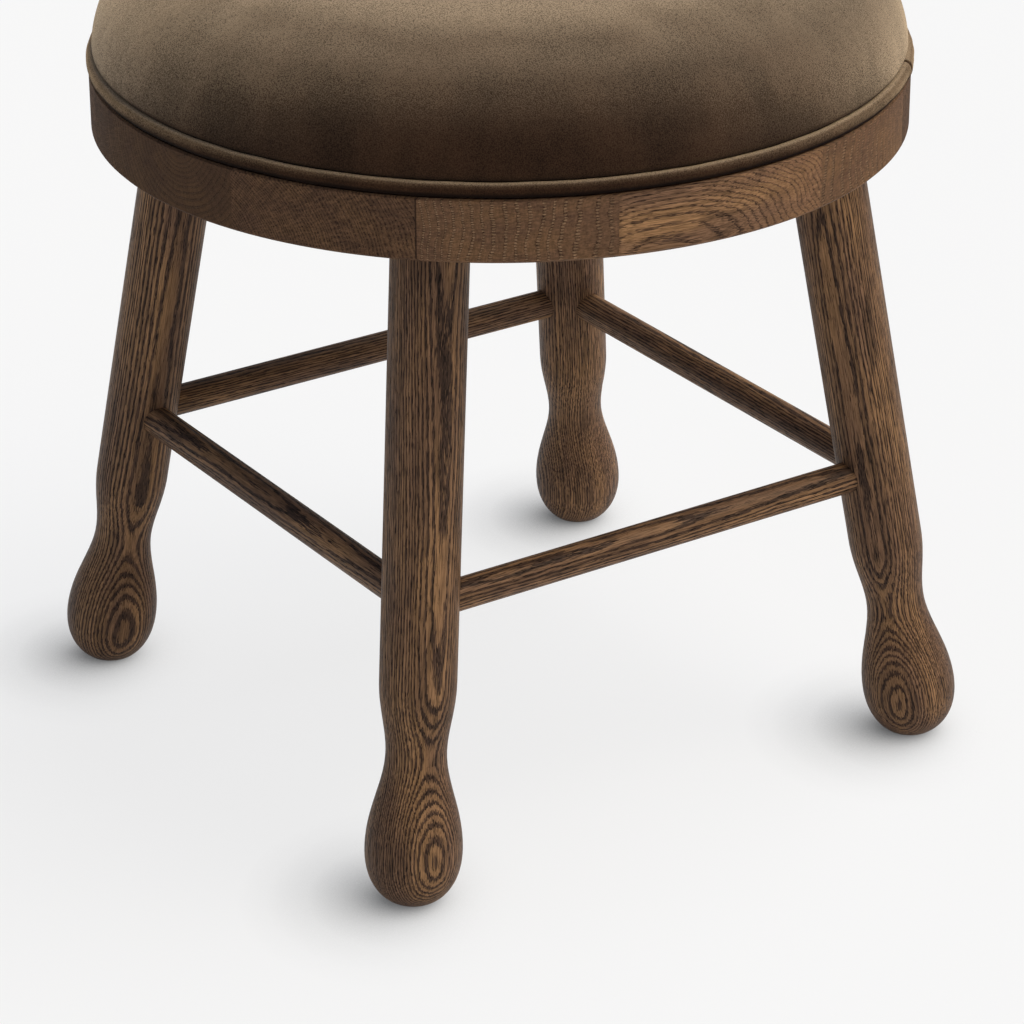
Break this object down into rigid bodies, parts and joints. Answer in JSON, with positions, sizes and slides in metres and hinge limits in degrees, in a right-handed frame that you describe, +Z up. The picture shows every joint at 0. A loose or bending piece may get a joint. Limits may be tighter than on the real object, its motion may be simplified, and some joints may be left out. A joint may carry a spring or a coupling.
{
  "type": "upholstered stool",
  "caption": "Round stool with a domed velvet pad and welt on a solid oak seat, turned splayed legs with ball feet, and round stretchers.",
  "frame": {"origin": "on the floor under the seat's centre", "axes": "+Z up; legs on the diagonals between +X and +Y; the slab's boards run along Y, turned 1.85 degrees"},
  "size_m": [0.4343, 0.4344, 0.4759],
  "materials": {
    "oak": "satin, dark stained",
    "plywood": "raw",
    "velvet": "short pile velvet",
    "foam": "open-cell foam",
    "wadding": "soft fibre",
    "cord": "twisted fibre",
    "steel": "zinc plated",
    "felt": "pressed felt"
  },
  "bodies": {
    "root": {"cover_staples": "steel", "glide_front_left": "felt", "glide_front_right": "felt", "glide_rear_left": "felt", "glide_rear_right": "felt", "leg_front_left": "oak", "leg_front_right": "oak", "leg_rear_left": "oak", "leg_rear_right": "oak", "pad_base": "plywood", "pad_foam": "foam", "pad_screws": "steel", "pad_wadding": "wadding", "seat_board_1": "oak", "seat_board_2": "oak", "seat_board_3": "oak", "seat_board_4": "oak", "seat_board_5": "oak", "seat_cover": "velvet", "stretcher_front": "oak", "stretcher_left": "oak", "stretcher_rear": "oak", "stretcher_right": "oak", "welt_cord": "cord", "welt_cover": "velvet"}
  },
  "joints": []
}
